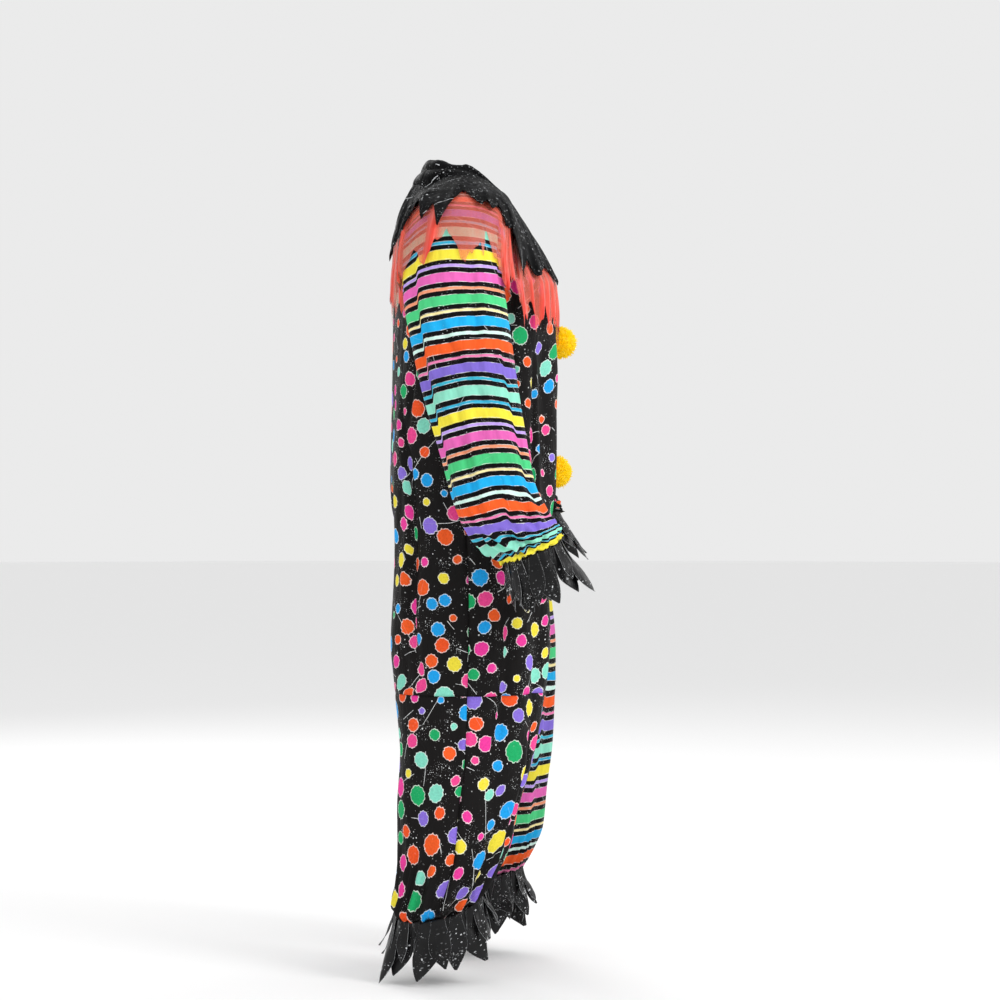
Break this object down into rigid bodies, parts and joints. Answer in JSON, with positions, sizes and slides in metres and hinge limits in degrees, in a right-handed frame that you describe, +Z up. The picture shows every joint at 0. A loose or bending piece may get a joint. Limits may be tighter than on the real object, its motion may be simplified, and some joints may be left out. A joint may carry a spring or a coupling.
{
  "type": "clown jumpsuit costume",
  "caption": "Loose one-piece clown suit as worn, with dotted and striped halves, jagged collar and fringes, gathered cuffs and ankles, and yellow pom-poms.",
  "frame": {"origin": "centre line of the suit at shoulder level, where the wearer's shoulders hold it up", "axes": "+Z up, the wearer faces -Y, the wearer's left is +X"},
  "size_m": [0.7004, 0.382, 1.4773],
  "materials": {
    "dotted_cloth": "soft knit polyester, near black, printed with coloured dots and white splatter",
    "striped_cloth": "soft knit polyester, printed with bright cross stripes on black",
    "black_satin": "thin black satin with cut jagged edges and white splatter",
    "red_organza": "sheer red organza that lets the print below show through",
    "yellow_fluff": "fluffy golden yellow yarn"
  },
  "bodies": {
    "root": {"body_front_right": "dotted_cloth", "leg_front_right": "dotted_cloth", "body_back_right": "dotted_cloth", "leg_back_right": "dotted_cloth", "sleeve_right": "striped_cloth", "cuff_fringe_right": "black_satin", "ankle_fringe_right": "black_satin", "body_front_left": "striped_cloth", "leg_front_left": "striped_cloth", "body_back_left": "striped_cloth", "leg_back_left": "striped_cloth", "sleeve_left": "dotted_cloth", "cuff_fringe_left": "black_satin", "ankle_fringe_left": "black_satin", "collar_sheer": "red_organza", "collar_black": "black_satin", "pompom_1": "yellow_fluff", "pompom_2": "yellow_fluff"}
  },
  "joints": []
}
